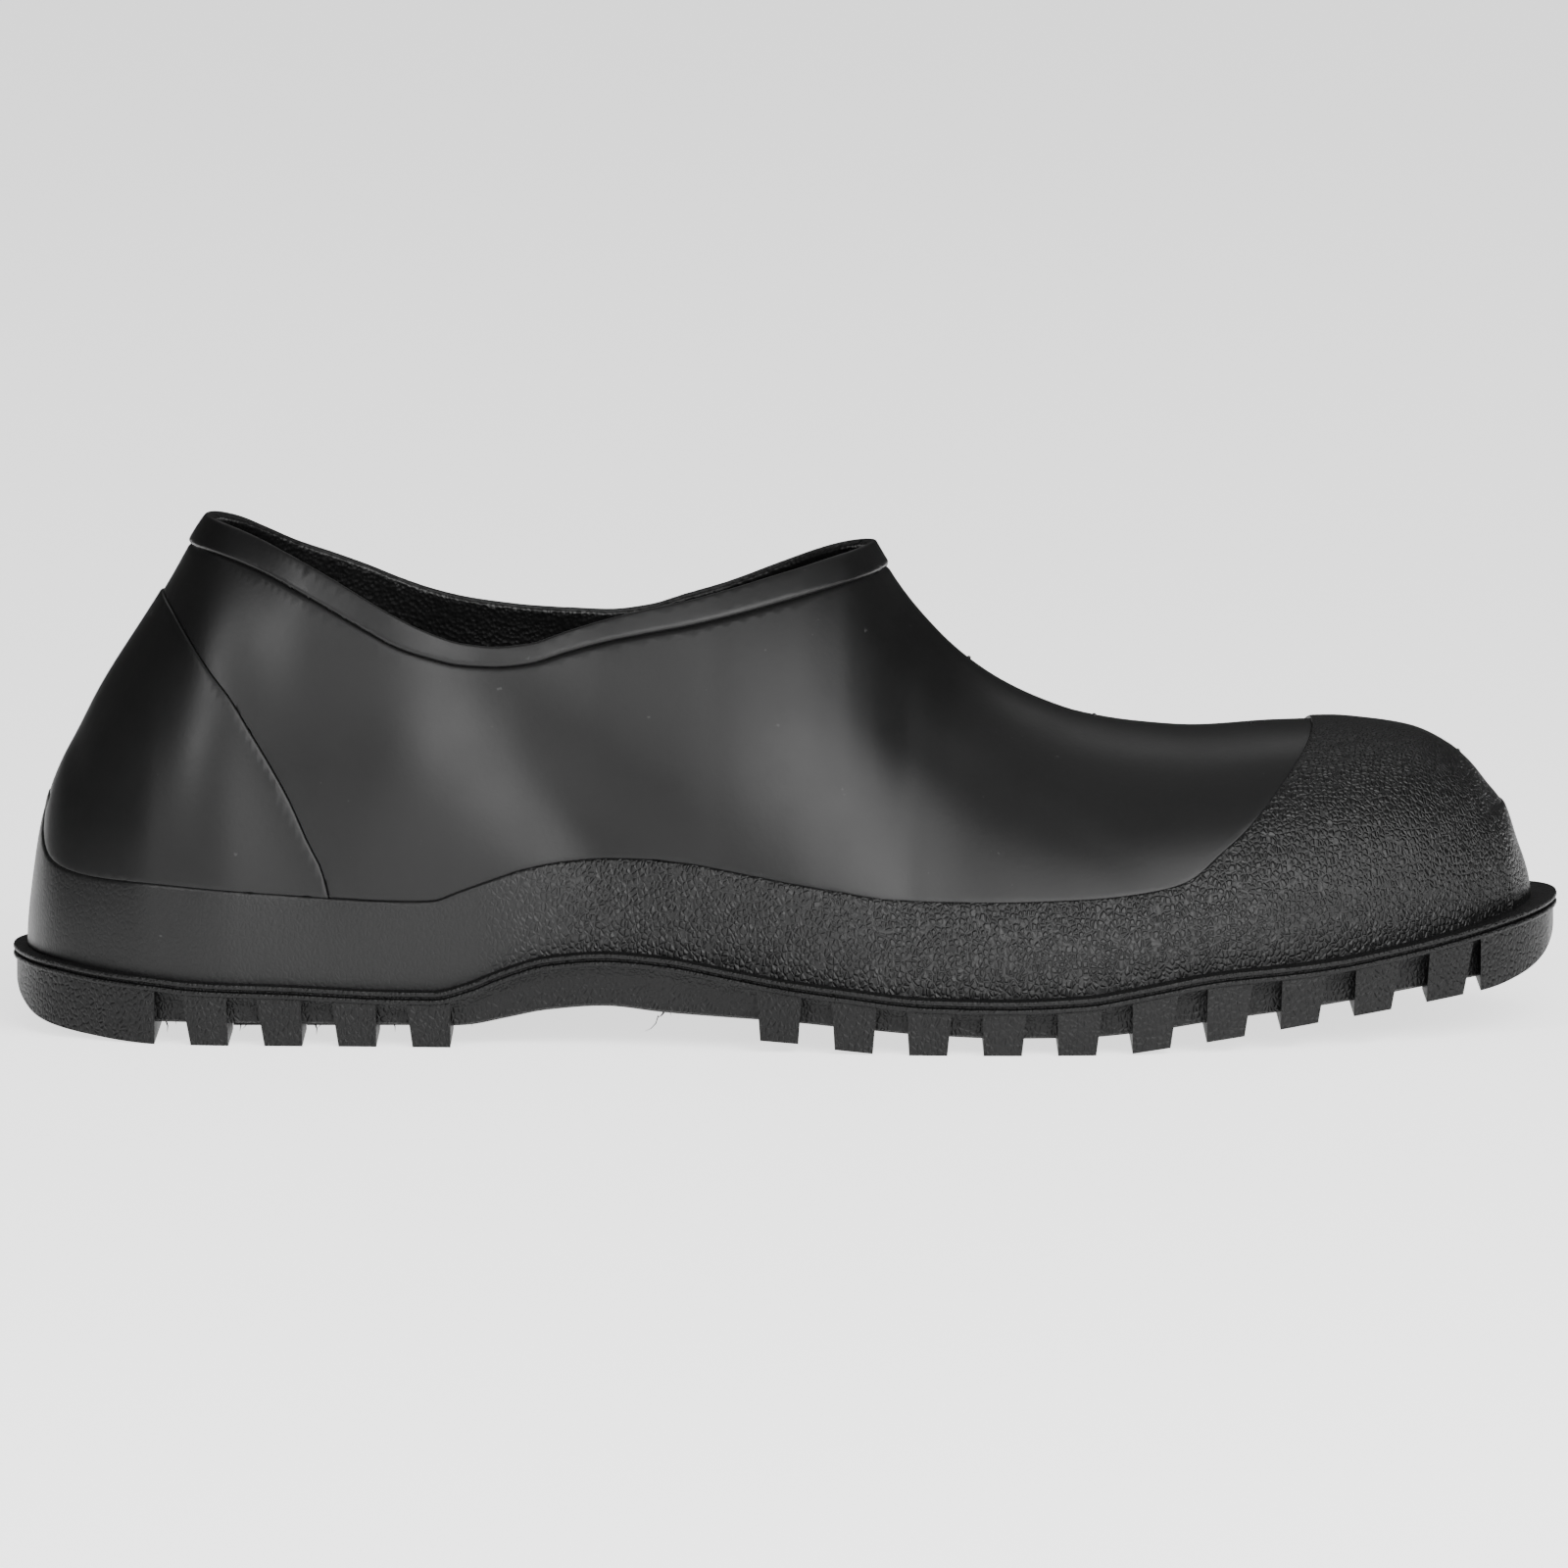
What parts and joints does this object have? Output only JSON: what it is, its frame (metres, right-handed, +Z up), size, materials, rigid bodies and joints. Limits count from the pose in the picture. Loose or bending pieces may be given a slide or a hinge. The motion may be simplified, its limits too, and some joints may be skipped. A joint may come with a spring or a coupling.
{
  "type": "rubber overshoe",
  "caption": "Low-cut black rubber work overshoe for the right foot: hollow upper with collar band, grained rand and toe cap, heel counter, lugged outsole.",
  "frame": {"origin": "centre of the bounding box in plan, on the floor plane that the heel lugs and the forefoot lugs stand on", "axes": "+X along the shoe towards the toe, +Y towards the inner side of the foot, +Z up"},
  "size_m": [0.3218, 0.1182, 0.1058],
  "materials": {
    "outsole_rubber": "matte moulded, ribbed side, dull black",
    "upper_rubber": "satin moulded black with a soft sheen",
    "foxing_rubber": "pebble-grained black, semi-matte",
    "counter_rubber": "satin moulded black",
    "collar_rubber": "satin moulded black, smooth rim"
  },
  "bodies": {
    "root": {"outsole": "outsole_rubber", "upper": "upper_rubber", "foxing_toe_cap": "foxing_rubber", "heel_counter": "counter_rubber", "collar_band": "collar_rubber"}
  },
  "joints": []
}
